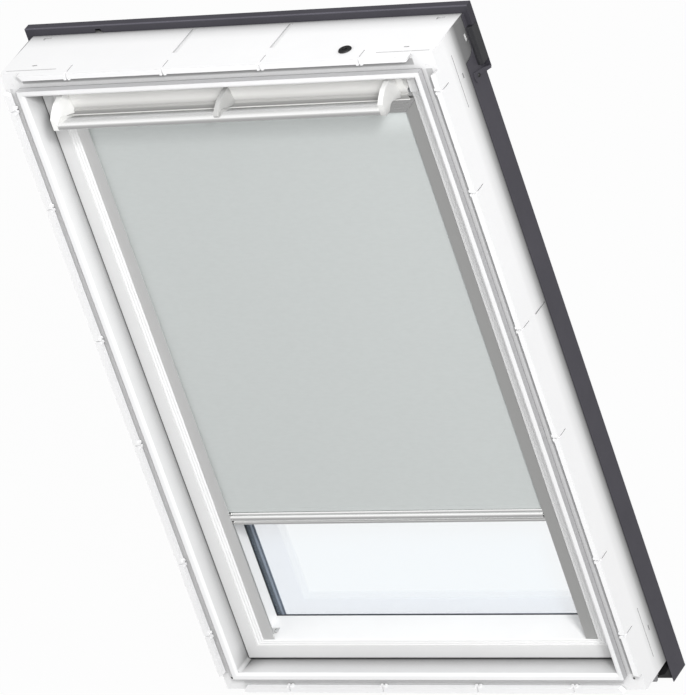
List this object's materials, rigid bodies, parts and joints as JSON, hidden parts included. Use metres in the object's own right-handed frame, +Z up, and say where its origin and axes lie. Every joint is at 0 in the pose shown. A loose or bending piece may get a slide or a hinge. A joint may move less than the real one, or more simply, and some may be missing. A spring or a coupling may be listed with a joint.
{
  "type": "skylight window blind",
  "caption": "White centre-pivot roof window with a ventilation flap and control bar, grey outer cladding and a light grey blackout roller blind in side channels.",
  "frame": {"origin": "centre of the bare strip on the underside of the frame, 21.9 mm behind the front of its lip", "axes": "+X to the right as seen from the room, +Y outwards from the room, +Z up along the window"},
  "size_m": [0.8018, 0.1755, 1.2326],
  "materials": {
    "frame_white": "satin white moulded coating",
    "sash_white": "satin white moulded coating",
    "flap_cream": "satin warm white",
    "cladding_grey": "matt dark grey lacquer",
    "black_rubber": "matt black",
    "grey_rubber": "matt grey",
    "satin_aluminium": "satin anodised",
    "channel_aluminium": "matt anodised",
    "blackout_fabric": "smooth tight light grey blackout cloth",
    "spacer_metal": "matt blue grey",
    "clear_glass": "clear",
    "zinc_steel": "zinc plated",
    "bracket_white": "white lacquer"
  },
  "bodies": {
    "frame": {"frame_head": "frame_white", "frame_sill": "frame_white", "frame_jamb_left": "frame_white", "frame_jamb_right": "frame_white", "cable_bushing": "black_rubber", "side_cladding_left": "cladding_grey", "side_cladding_right": "cladding_grey", "sill_cladding": "cladding_grey", "top_hood": "cladding_grey", "hood_end_left": "black_rubber", "hood_end_right": "black_rubber", "hood_clip_left": "cladding_grey", "hood_clip_right": "cladding_grey", "clip_screw_left": "zinc_steel", "clip_screw_right": "zinc_steel", "apron_gasket": "black_rubber", "sill_seal": "grey_rubber", "hinge_frame_left": "zinc_steel", "hinge_frame_right": "zinc_steel", "lock_striker": "zinc_steel"},
    "sash": {"sash_stile_left": "sash_white", "sash_stile_right": "sash_white", "sash_bottom_rail": "sash_white", "sash_top_rail": "sash_white", "inner_pane": "clear_glass", "outer_pane": "clear_glass", "pane_spacer": "spacer_metal", "glazing_gasket": "black_rubber", "sash_cladding": "cladding_grey", "hinge_sash_left": "zinc_steel", "hinge_sash_right": "zinc_steel", "air_filter": "grey_rubber", "lock_case": "zinc_steel", "flap_hinge_left": "zinc_steel", "flap_hinge_right": "zinc_steel", "side_channel_left": "channel_aluminium", "side_channel_right": "channel_aluminium", "channel_foot_left": "zinc_steel", "channel_foot_right": "zinc_steel", "blind_casing": "satin_aluminium", "roller_bracket_left": "bracket_white", "roller_bracket_right": "bracket_white", "blind_fabric": "blackout_fabric"},
    "flap": {"vent_flap": "flap_cream", "control_bar": "satin_aluminium", "bar_arm_left": "flap_cream", "bar_arm_right": "flap_cream", "bar_arm_middle": "flap_cream"},
    "latch": {"lock_latch": "zinc_steel"},
    "blind_bar": {"blind_bottom_bar": "satin_aluminium", "glide_shoe_left": "black_rubber", "glide_shoe_right": "black_rubber"},
    "roller": {"roller_tube": "zinc_steel", "roller_plug_left": "black_rubber", "roller_plug_right": "black_rubber", "fabric_roll": "blackout_fabric"}
  },
  "joints": [
    {"name": "sash_pivot", "type": "hinge", "parent": "frame", "child": "sash", "pos_m": [0, 0.0781, 0.589], "axis": [1, 0, 0], "range_deg": [0, 160]},
    {"name": "flap_tilt", "type": "hinge", "parent": "sash", "child": "flap", "pos_m": [0, 0.0181, 1.098], "axis": [1, 0, 0], "range_deg": [0, 45]},
    {"name": "blind_slide", "type": "slide", "parent": "sash", "child": "blind_bar", "axis": [0, 0, 1], "range_m": [-0.22, 0.71], "deforming": ["blind_fabric"]},
    {"name": "roller_turn", "type": "hinge", "parent": "sash", "child": "roller", "pos_m": [0, 0.0397, 1.0755], "axis": [1, 0, 0], "range_deg": [-3700, 1150]},
    {"name": "latch_turn", "type": "hinge", "parent": "sash", "child": "latch", "pos_m": [0, 0.0801, 1.117], "axis": [1, 0, 0], "range_deg": [0, 45]}
  ],
  "couplings": [
    {"joint": "roller_turn", "follows": "blind_slide", "rad_per_m": -90},
    {"joint": "latch_turn", "follows": "flap_tilt", "ratio": 1}
  ]
}
